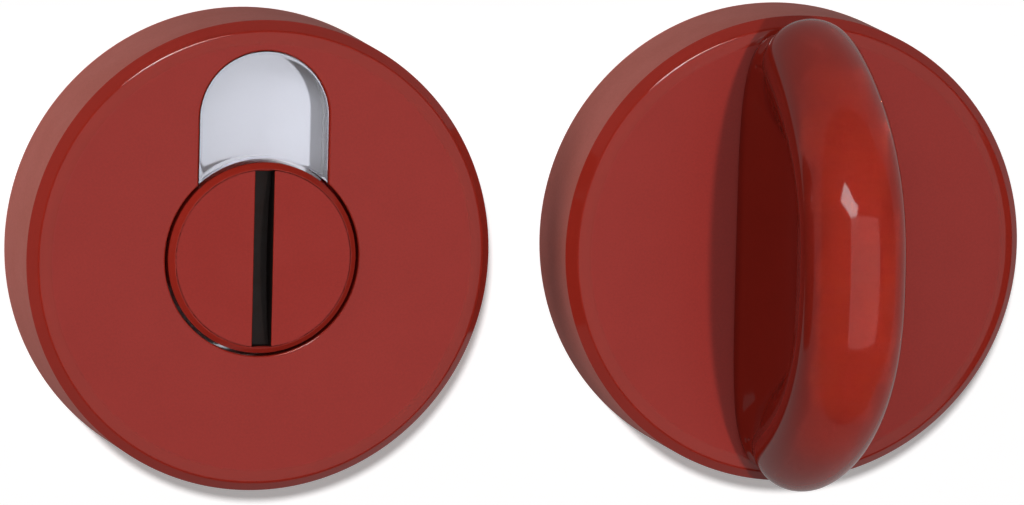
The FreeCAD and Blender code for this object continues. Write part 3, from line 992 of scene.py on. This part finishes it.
    def build_coin_disc(self) -> bpy.types.Object:
        """Builds the coin release: disc with its edge band, arc floored slot and hub.

        Returns:
            The piece.
        """
        front, steps, ring = self.disc_front_z, self.disc_steps, self.disc_ring
        rim_r = self.disc_r - self.disc_edge_w
        profile = [
            Corner(rim_r - ring, front),
            Corner(rim_r, front, self.disc_rounding),
            Corner(self.disc_r, front - self.disc_edge_h, self.disc_rounding),
            Corner(self.disc_r, self.body_z, self.body_rounding),
            Corner(self.shoulder_r, self.body_z, self.shoulder_rounding),
            Corner(self.shoulder_r, self.plate_top_z, self.shoulder_rounding),
            Corner(self.hub_r, self.plate_top_z),
            Corner(self.hub_r, self.hub_z, self.body_rounding),
            Corner(self.core_r, self.hub_z),
            Corner(self.core_r, self.socket_roof_z),
            Corner(0, self.socket_roof_z),
        ]
        body = turned_mesh(profile, Finish.GLOSS_NYLON, steps)
        flat, top, bore = self.hub_flat * MM, (self.plate_top_z - WELD) * MM, (self.core_r + 0.05) * MM
        for vertex in body.vertices:
            if vertex.co.z < top and math.hypot(*vertex.co.xy) > bore:
                vertex.co.x = max(-flat, min(flat, vertex.co.x))
        joiner = Joiner("coin_disc", [Finish.GLOSS_NYLON, Finish.GRAINED_NYLON, Finish.SLOT_SHADE_NYLON])
        joiner.add_mesh(body)
        sheet = Sheet()
        half_w, half_l, rounding = self.slot_w / 2, self.slot_half_l, self.slot_rounding

        def slot_loop(margin: float, drop: float) -> list[tuple[float, float, float]]:
            """The slot's outline, counterclockwise.

            Args:
                margin: how far it lies outside the slot's walls.
                drop: its depth below the front.

            Returns:
                The points.
            """
            w, l, z = half_w + margin, half_l + margin, front - drop
            along, across = self.slot_steps
            points = [(w, y, z) for y in spread(-l, l, along)]
            points += [(x, l, z) for x in spread(w, -w, across)]
            points += [(-w, y, z) for y in spread(l, -l, along)]
            points += [(x, -l, z) for x in spread(-w, w, across)]
            return points

        loops = [sheet.loop(slot_loop(m, d)) for m, d in quarter(rounding, 4)]
        loops.append(sheet.loop([(x, y, self.slot_floor(y)) for x, y, _ in slot_loop(0.0, 0.0)]))
        for upper, lower in zip(loops, loops[1:]):
            sheet.band(upper, lower)
        sheet.fill(loops[-1], [])
        sheet.fill(sheet.loop(circle(rim_r - ring, front, steps)), [loops[0]])
        joiner.add_sheet(sheet)
        # faces inside the slot take the nylon painted nearly black, painted shade for the deep slot
        slot_box = (half_w + WELD, half_l + WELD, front - self.slot_depth_mid - WELD, front - rounding)
        return joiner.finish(self.centre_x, {
            Finish.GRAINED_NYLON: lambda f: on_face(f, rim_r - ring, front),
            Finish.SLOT_SHADE_NYLON: lambda f: in_slot(f, *slot_box)})

    def build(self) -> None:
        """Builds the outside rose and puts it in the frame."""
        cap = self.build_cap()
        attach(cap, "roses")
        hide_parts("release_cover")
        lens = self.build_lens()
        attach(lens, "roses")
        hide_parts("indicator_window")
        lens.visible_shadow = False     # the clear lens lets the light on to the plate behind it
        disc = self.build_coin_disc()
        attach(disc, "coin_release")
        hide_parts("release_turn")
        for piece in (cap, lens, disc):
            log.info("%s: %d faces", piece.name, len(piece.data.polygons))


@dataclass
class ThumbTurn:
    """The grip: a fin with hollow flanks and a rounded rim that arches over it."""

    centre_x: float = ROSE_X
    face_z: float = 13.3
    turn_z: float = 13.65
    foot_half_w: float = 7.4
    foot_half_l: float = 25.6
    foot_edge_h: float = 0.9
    foot_blend: float = 0.5
    foot_power: float = 4.5
    waist_half_w: float = 4.0
    waist_h: float = 10.5
    neck_half_w: float = 4.6
    neck_h: float = 21.6
    rim_half_l: float = 21.93
    rim_end_h: float = 4.0
    rim_crown_h: float = 23.3
    rim_crown_r: float = 6.16
    rim_end_r: float = 5.75
    reach_power: float = 0.8
    rise_power: float = 1.6
    blend_mid: float = 3.4
    blend_end: float = 2.0
    under_fade: float = 2.5         # height over which the web thins out inside the rim
    tip_fade: float = 1.5           # the rim's half width over which the blend sets in
    columns: int = 210
    rows: int = 96
    samples: int = 1601             # places along the arch that its outline is drawn through
    arch_spots: int = 721           # places along the arch that a width is measured from
    ball_spots: int = 60            # the same round each end
    short_of_end: float = 1e-3      # radians left out at each end, where the arch stands still
    batch: int = 2000
    steep: float = 0.9              # the rim's radius changes by no more than this along the arch
    tang_half_t: float = 2.5
    tang_r: float = 6.8
    tang_h: float = 11.0

    def arch(self, angle: np.ndarray) -> tuple[np.ndarray, np.ndarray, np.ndarray]:
        """The rim's centre line.

        Args:
            angle: from -90 to 90 degrees, in radians.

        Returns:
            Place along the grip, height and the rim's radius.
        """
        swing, lift = np.sin(angle), np.clip(np.cos(angle), 0, 1)
        y = self.rim_half_l * np.sign(swing) * np.abs(swing) ** self.reach_power
        z = self.face_z + self.rim_end_h + (self.rim_crown_h - self.rim_end_h) * lift ** self.rise_power
        return y, z, self.rim_end_r + (self.rim_crown_r - self.rim_end_r) * lift

    def flank(self, z: np.ndarray) -> np.ndarray:
        """Half the fin's width at a height: an arc through foot, waist and neck, eased into the foot's edge.

        Args:
            z: heights.

        Returns:
            Half widths.
        """
        heights = [self.turn_z + self.foot_edge_h, self.face_z + self.waist_h, self.face_z + self.neck_h]
        widths = [self.foot_half_w, self.waist_half_w, self.neck_half_w]
        rows = np.array([[2 * w, 2 * h, 1.0] for w, h in zip(widths, heights)])
        squares = np.array([w * w + h * h for w, h in zip(widths, heights)])
        across, up, rest = np.linalg.solve(rows, squares)
        radius = math.sqrt(rest + across ** 2 + up ** 2)
        arc = across - np.sqrt(np.maximum(radius ** 2 - (z - up) ** 2, 0))
        return -eased_max(-arc, -self.foot_half_w * np.ones_like(z), self.foot_blend)

    def half_width(self, y: np.ndarray, z: np.ndarray) -> np.ndarray:
        """Half the grip's thickness at points of its side view.

        Args:
            y: places along the grip.
            z: heights.

        Returns:
            Half widths, nought on the outline.
        """
        angles = np.linspace(-math.pi / 2, math.pi / 2, self.arch_spots)
        ay, az, ar = self.arch(angles)
        rim = np.zeros_like(y)
        for start in range(0, y.size, self.batch):
            part = slice(start, start + self.batch)
            room = ar ** 2 - (y.flat[part][:, None] - ay) ** 2 - (z.flat[part][:, None] - az) ** 2
            rim.flat[part] = np.sqrt(np.maximum(room.max(axis=1), 0))
        half = angles >= 0
        low = [self.turn_z, self.turn_z + self.foot_edge_h]
        reach_z = np.concatenate([low, az[half][::-1]])
        reach_y = np.concatenate([[self.foot_half_l] * 2, ay[half][::-1]])
        length = np.interp(z, reach_z, reach_y)
        share = np.clip(np.abs(y) / np.maximum(length, 1e-6), 0, 1)
        plan = (1 - share ** self.foot_power) ** (1 / self.foot_power)
        roof = np.interp(np.abs(y), ay[half], az[half])
        under = np.clip((roof - z) / self.under_fade, 0, 1)
        under = np.where(np.abs(y) > self.rim_half_l, 1.0, under)
        web = self.flank(z) * plan * under ** 0.5
        middle = np.clip(1 - (y / self.rim_half_l) ** 2, 0, 1)
        blend = self.blend_end + (self.blend_mid - self.blend_end) * middle
        edge = np.clip(rim / self.tip_fade, 0, 1)
        return np.where(rim > 0, eased_max(rim, web, blend * edge + 1e-6), web)

    def outline(self) -> tuple[np.ndarray, np.ndarray]:
        """The grip's side outline from one end of its flat underside over the arch to the other.

        Returns:
            Places along and heights.
        """
        limit = math.pi / 2 - self.short_of_end
        angles = np.linspace(limit, -limit, self.samples)
        y, z, r = self.arch(angles)
        along = np.gradient(y), np.gradient(z)
        step = np.hypot(*along)
        slope = np.clip(np.gradient(r) / step, -self.steep, self.steep)
        ty, tz = along[0] / step, along[1] / step
        lean = np.sqrt(1 - slope ** 2)
        out_y = y + r * (-slope * ty + lean * tz)
        out_z = z + r * (-slope * tz - lean * ty)
        drop = math.asin((self.face_z + self.rim_end_h - self.turn_z) / self.rim_end_r)
        turn = np.linspace(-drop, 0, self.ball_spots)[:-1]
        ball_y = self.rim_half_l + self.rim_end_r * np.cos(turn)
        ball_z = self.face_z + self.rim_end_h + self.rim_end_r * np.sin(turn)
        out_y = np.concatenate([ball_y, out_y, -ball_y[::-1]])
        out_z = np.concatenate([ball_z, out_z, ball_z[::-1]])
        length = np.concatenate([[0], np.cumsum(np.hypot(np.diff(out_y), np.diff(out_z)))])
        even = np.linspace(0, length[-1], self.columns)
        return np.interp(even, length, out_y), np.interp(even, length, out_z)

    def build_grip(self) -> bpy.types.Object:
        """Builds the grip as one closed skin with the tang's pocket underneath.

        Returns:
            The piece.
        """
        out_y, out_z = self.outline()
        foot_y = out_y[0] * np.cos(np.linspace(0, math.pi, self.columns))
        share = (1 - np.cos(np.linspace(0, math.pi, self.rows))) / 2
        y = out_y[:, None] + (foot_y - out_y)[:, None] * share
        z = out_z[:, None] + (self.turn_z - out_z)[:, None] * share
        width = self.half_width(y, z)
        width[:, 0] = 0
        sheet = Sheet()
        right, left = [], []
        for k in range(self.columns):
            spots = list(zip(width[k].tolist(), y[k].tolist(), z[k].tolist()))
            right.append(sheet.loop(spots))
            left.append(sheet.loop([(-w, a, b) for w, a, b in spots]))
        for k in range(self.columns - 1):
            sheet.band(right[k], right[k + 1], closed=False)
            sheet.band(left[k + 1], left[k], closed=False)
        rim = [loop[-1] for loop in right] + [loop[-1] for loop in left[-2:0:-1]]
        pocket = self.pocket(self.turn_z)
        mouth = sheet.loop(pocket)
        roof = sheet.loop([(px, py, self.turn_z + self.tang_h) for px, py, _ in pocket])
        sheet.band(mouth, roof)
        sheet.fill(roof, [], False)
        sheet.fill(rim, [mouth], False)
        joiner = Joiner("grip", [Finish.GLOSS_NYLON])
        joiner.add_sheet(sheet)
        return joiner.finish(self.centre_x, sharp_degrees=50)

    def pocket(self, z: float) -> list[tuple[float, float, float]]:
        """The outline of the tang's pocket: a bar with round ends.

        Args:
            z: its height.

        Returns:
            The points.
        """
        top = math.acos(self.tang_half_t / self.tang_r)
        end = math.pi - top
        side = self.tang_r * math.sin(top)
        points = []
        for sign, first in ((1, 0.0), (-1, math.pi)):
            points += [(self.tang_r * math.cos(a), self.tang_r * math.sin(a), z)
                       for a in spread(first + top, first + end, 12)]
            points += [(-sign * self.tang_half_t, y, z) for y in spread(sign * side, -sign * side, 8)]
        return points

    def build(self) -> None:
        """Builds the grip and puts it in the frame."""
        grip = self.build_grip()
        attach(grip, "turn")
        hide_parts("thumb_turn")
        log.info("%s: %d faces", grip.name, len(grip.data.polygons))


def eased_max(first: np.ndarray, second: np.ndarray, blend: np.ndarray | float) -> np.ndarray:
    """The larger of two values, with the change from one to the other rounded off.

    Args:
        first: one set of values.
        second: the other set.
        blend: width of the rounding.

    Returns:
        The eased values.
    """
    near = np.clip(blend - np.abs(first - second), 0, None) / blend
    return np.maximum(first, second) + near ** 2 * blend / 4


@dataclass
class InsideRose:
    """The inside half: cap with the bearing hole, and the thumb turn on it."""

    cap: CapSizes = field(default_factory=CapSizes)
    hole_r: float = 7.05
    hole_back_rounding: float = 0.15
    centre_x: float = ROSE_X

    def build(self) -> None:
        """Builds the inside rose and puts it in the frame."""
        cap = self.cap
        hole = [Corner(self.hole_r, cap.ceiling_z, self.hole_back_rounding),
                Corner(self.hole_r, cap.face_z, cap.opening_rounding), cap.skin()[0]]
        piece = cap.start("inside_cap", hole).finish(self.centre_x, cap.rule())
        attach(piece, "roses")
        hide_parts("turn_cover")
        log.info("%s: %d faces", piece.name, len(piece.data.polygons))
        ThumbTurn().build()


class InnerPieces:
    """The pieces whose modelled shape stays and which get their finish here."""

    finishes = {
        "indicator_disc": Finish.WHITE_ACETAL,
        "engaged_insert": Finish.RED_ACETAL,
        "release_core": Finish.OUTSIDE_STEEL,
        "turn_core": Finish.INSIDE_STEEL,
        "release_base_plate": Finish.GREY_NYLON,
        "turn_base_plate": Finish.GREY_NYLON,
        "release_bush": Finish.BEARING_ACETAL,
        "turn_bush": Finish.BEARING_ACETAL,
        "release_wave_spring": Finish.SPRING_STEEL,
        "turn_wave_spring": Finish.SPRING_STEEL,
        "release_thrust_washer": Finish.OUTSIDE_STEEL,
        "turn_thrust_washer": Finish.INSIDE_STEEL,
        "release_circlip": Finish.SPRING_STEEL,
        "turn_circlip": Finish.SPRING_STEEL,
        "threaded_inserts": Finish.BRASS,
        "screw_eyelets": Finish.INSIDE_STEEL,
    }

    def build(self) -> None:
        """Gives each piece its finish."""
        for node, finish in self.finishes.items():
            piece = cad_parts[node]
            piece.data.materials.clear()
            piece.data.materials.append(finish.material)
            log.info("%s: %s", node, finish.value.name)


class Lit(Enum):
    """What a lamp lights: a link state, and the objects that it is set for."""

    LOCK = ("EXCLUDE", ("floor",))
    CAPS = ("EXCLUDE", ("floor", "grip"))
    GRIP = ("INCLUDE", ("grip",))
    EDGES = ("INCLUDE", ("outside_cap", "inside_cap"))
    FLOOR = ("INCLUDE", ("floor",))


@dataclass(frozen=True)
class Lamp:
    """A rectangular lamp, which faces straight down unless it is aimed.

    Args:
        name: its name.
        place: where it hangs, in metres.
        size: its width and length in metres.
        turn: degrees that it is turned about the upright.
        radiance: how bright its face is to dull surfaces, with 1 for white.
        mirrored: how bright it is as glossy surfaces show it.
        aimed: whether it faces the lock instead of straight down.
        lit: what it lights.
    """

    name: str
    place: tuple[float, float, float]
    size: tuple[float, float]
    turn: float
    radiance: float
    mirrored: float = 0.0
    aimed: bool = False
    lit: Lit = Lit.LOCK


@dataclass
class Studio:
    """Camera, floor, surroundings and lamps."""

    camera_turns: tuple[float, float, float] = (-0.150, -0.256, 0.025)
    camera_target: tuple[float, float] = (1.28, -1.76)
    camera_distance: float = 1403.0
    focal_pixels: float = 12001.0
    sensor_mm: float = 36.0
    clip: tuple[float, float] = (0.05, 50.0)
    floor_half: float = 4.0
    floor_lift: float = 0.33        # white that the floor gives of itself where it is seen
    floor_gap_mm: float = 0.02      # between the floor and the roses' backs
    fibre_mm: float = 0.8
    fibre_depth_mm: float = 0.01
    ground: float = 0.36            # the pale table, as glossy surfaces show it
    overhead: float = 0.05          # the surroundings above, as glossy surfaces show them
    ambient: float = 0.03           # the same all round, as dull surfaces take it up
    horizon: tuple[float, float] = (0.01, 0.06)   # sine of the height between which one turns to the other
    apart: float = 0.01             # between the two copies of a lamp, so that neither hides the other
    floor_light: tuple[float, float, float] = (-0.28, 0.28, 1.0)   # where the floor's light comes from
    floor_light_angle: float = 4.3  # how wide it looks, in degrees: the softness of the roses' shadow
    floor_level: float = 0.78       # how bright it makes a white floor, with 1 for white
    lamps: tuple[Lamp, ...] = (
        # The overhead lamp that throws the turn's shadow
        Lamp("key", (0.2, 0.0, 1.0), (0.035, 0.035), 0, 1420.0),
        # A low lamp at the left that brightens the side walls
        Lamp("side", (-0.95, 0.2, 0.4), (0.5, 0.45), 0, 6.5, aimed=True, lit=Lit.CAPS),
        # The wide pale card that lays a haze over the faces
        Lamp("card", (0.175, -0.135, 1.0), (1.21, 1.13), 0, 0.4, mirrored=1.35),
        # The bright panel at the upper left, mirrored in the grip
        Lamp("panel", (-0.436, 0.64, 1.0), (1.0, 0.37), 150, 4.5),
        Lamp("grip_panel", (-0.436, 0.64, 1.0), (1.0, 0.37), 150, 0.0, mirrored=12.0, lit=Lit.GRIP),
        # A strip beside it that draws the thin line along the caps' edges
        Lamp("cap_strip", (-0.272, 0.788, 1.0), (0.8, 0.3), 138, 0.0, mirrored=32.0, lit=Lit.EDGES),
        # A soft lamp overhead that evens out the grip's rim
        Lamp("grip_fill", (-0.3, 0.0, 0.85), (0.3, 0.3), 0, 1.8, lit=Lit.GRIP),
    )

    def camera(self) -> None:
        """Places the camera at the photograph's viewing angle."""
        turn_x, turn_y, turn_z = self.camera_turns
        turn = (Matrix.Rotation(turn_z, 3, "Z") @ Matrix.Rotation(turn_y, 3, "Y")
                @ Matrix.Rotation(turn_x, 3, "X"))
        place = Vector((*self.camera_target, 0)) + turn.col[2] * self.camera_distance
        data = bpy.data.cameras.new("camera")
        data.sensor_width = self.sensor_mm
        data.lens = self.focal_pixels * self.sensor_mm / PHOTO_WIDTH
        data.clip_start, data.clip_end = self.clip
        camera = bpy.data.objects.new("camera", data)
        camera.matrix_world = Matrix.Translation(place * MM) @ turn.to_4x4()
        bpy.context.scene.collection.objects.link(camera)
        bpy.context.scene.camera = camera

    def seen(self, tree: bpy.types.NodeTree) -> bpy.types.NodeSocket:
        """Gives 1 for rays that show a thing to the camera, straight or by way of gloss or glass.

        Args:
            tree: the tree.

        Returns:
            The socket.
        """
        path = add_node(tree, "ShaderNodeLightPath")
        first = add_node(tree, "ShaderNodeMath", {"operation": "MAXIMUM"}, {
            0: path.outputs["Is Camera Ray"], 1: path.outputs["Is Glossy Ray"]})
        both = add_node(tree, "ShaderNodeMath", {"operation": "MAXIMUM"}, {
            0: first.outputs[0], 1: path.outputs["Is Transmission Ray"]})
        return both.outputs[0]

    def floor(self) -> None:
        """Lays the white floor."""
        material, tree = new_material("white_studio_paper")
        lift = add_node(tree, "ShaderNodeMath", {"operation": "MULTIPLY"}, {
            0: self.seen(tree), 1: self.floor_lift})
        fibre = add_node(tree, "ShaderNodeTexNoise", {}, {"Scale": 1 / (self.fibre_mm * MM), "Detail": 2.0})
        relief = add_node(tree, "ShaderNodeBump", {}, {
            "Height": fibre.outputs["Fac"], "Distance": self.fibre_depth_mm * MM})
        shader = add_node(tree, "ShaderNodeBsdfPrincipled", {}, {
            "Base Color": linear("#F2F2F2"), "Roughness": 0.9, "Specular IOR Level": 0.1,
            "Normal": relief.outputs["Normal"], "Emission Color": (1, 1, 1, 1),
            "Emission Strength": lift.outputs[0]})
        add_node(tree, "ShaderNodeOutputMaterial", {}, {"Surface": shader.outputs["BSDF"]})
        half = self.floor_half
        mesh = bpy.data.meshes.new("floor")
        corners = [(-half, -half, 0), (half, -half, 0), (half, half, 0), (-half, half, 0)]
        mesh.from_pydata(corners, [], [(0, 1, 2, 3)])
        mesh.materials.append(material)
        floor = bpy.data.objects.new("floor", mesh)
        floor.location.z = -self.floor_gap_mm * MM
        floor.visible_glossy = False    # gloss shows the pale ground of the surroundings in its place
        bpy.context.scene.collection.objects.link(floor)

    def place(self, name: str, data: bpy.types.Light, where: tuple[float, float, float],
              lit: Lit) -> bpy.types.Object:
        """Puts a lamp in its place.

        Args:
            name: the lamp's name.
            data: its light.
            where: its place in metres.
            lit: what it lights.

        Returns:
            The lamp.
        """
        lamp = bpy.data.objects.new(name, data)
        lamp.location = where
        lamp.visible_camera = False
        bpy.context.scene.collection.objects.link(lamp)
        state, names = lit.value
        group = bpy.data.collections.new(name + "_receivers")
        for receiver in names:
            group.objects.link(bpy.data.objects[receiver])
        for link in group.collection_objects:
            link.light_linking.link_state = state
        lamp.light_linking.receiver_collection = group
        return lamp

    def hang(self, lamp: Lamp) -> None:
        """Hangs a rectangular lamp, once for dull surfaces and once for glossy ones.

        Args:
            lamp: the lamp.
        """
        for glossy, radiance in ((False, lamp.radiance), (True, lamp.mirrored)):
            if radiance == 0:
                continue
            name = lamp.name + ("_mirrored" if glossy else "")
            data = bpy.data.lights.new(name, "AREA")
            data.shape = "RECTANGLE"
            data.size, data.size_y = lamp.size
            data.energy = radiance * math.pi * data.size * data.size_y
            x, y, z = lamp.place
            piece = self.place(name, data, (x, y, z + self.apart if glossy else z), lamp.lit)
            piece.rotation_euler.z = math.radians(lamp.turn)
            if lamp.aimed:
                piece.rotation_euler = Vector(lamp.place).to_track_quat("Z", "Y").to_euler()
            piece.visible_glossy = glossy
            piece.visible_diffuse = not glossy
            piece.visible_transmission = False

    def light_floor(self) -> None:
        """Lights the floor evenly from the upper left, with the shadow of the roses only."""
        data = bpy.data.lights.new("floor_light", "SUN")
        data.angle = math.radians(self.floor_light_angle)
        data.energy = self.floor_level * math.pi
        lamp = self.place("floor_light", data, self.floor_light, Lit.FLOOR)
        lamp.visible_glossy = False
        clear = bpy.data.collections.new("floor_light_blockers")
        clear.objects.link(bpy.data.objects["grip"])
        for link in clear.collection_objects:
            link.light_linking.link_state = "EXCLUDE"
        lamp.light_linking.blocker_collection = clear
        lamp.rotation_mode = "QUATERNION"
        lamp.rotation_quaternion = Vector(self.floor_light).to_track_quat("Z", "Y")

    def world(self) -> None:
        """Makes the surroundings: white to the camera; in gloss, pale below and dark overhead."""
        world = bpy.data.worlds.new("studio")
        bpy.context.scene.world = world
        world.use_nodes = True
        tree = world.node_tree
        tree.nodes.clear()
        where = add_node(tree, "ShaderNodeTexCoord")
        parts = add_node(tree, "ShaderNodeSeparateXYZ", {}, {0: where.outputs["Generated"]})
        low, high = self.horizon
        level = add_node(tree, "ShaderNodeMapRange", {"interpolation_type": "SMOOTHSTEP"}, {
            "Value": parts.outputs["Z"], "From Min": low, "From Max": high,
            "To Min": self.ground, "To Max": self.overhead})
        path = add_node(tree, "ShaderNodeLightPath")
        shown = add_node(tree, "ShaderNodeMix", {"data_type": "FLOAT"}, {
            0: self.seen(tree), 2: self.ambient, 3: level.outputs["Result"]})
        white = add_node(tree, "ShaderNodeMath", {"operation": "MAXIMUM"}, {
            0: shown.outputs[0], 1: path.outputs["Is Camera Ray"]})
        sky = add_node(tree, "ShaderNodeBackground", {}, {
            "Color": (1, 1, 1, 1), "Strength": white.outputs[0]})
        add_node(tree, "ShaderNodeOutputWorld", {}, {"Surface": sky.outputs[0]})

    def build(self) -> None:
        """Sets up the whole studio."""
        self.camera()
        self.floor()
        self.world()
        self.light_floor()
        for lamp in self.lamps:
            self.hang(lamp)


def main() -> None:
    """Builds the studio and the two roses in order."""
    logging.basicConfig(level=logging.INFO, format="%(name)s: %(message)s")
    bpy.context.scene.view_settings.view_transform = "Standard"
    OutsideRose().build()
    InsideRose().build()
    InnerPieces().build()
    Studio().build()
    bpy.context.view_layer.update()


if __name__ == "__main__":
    main()
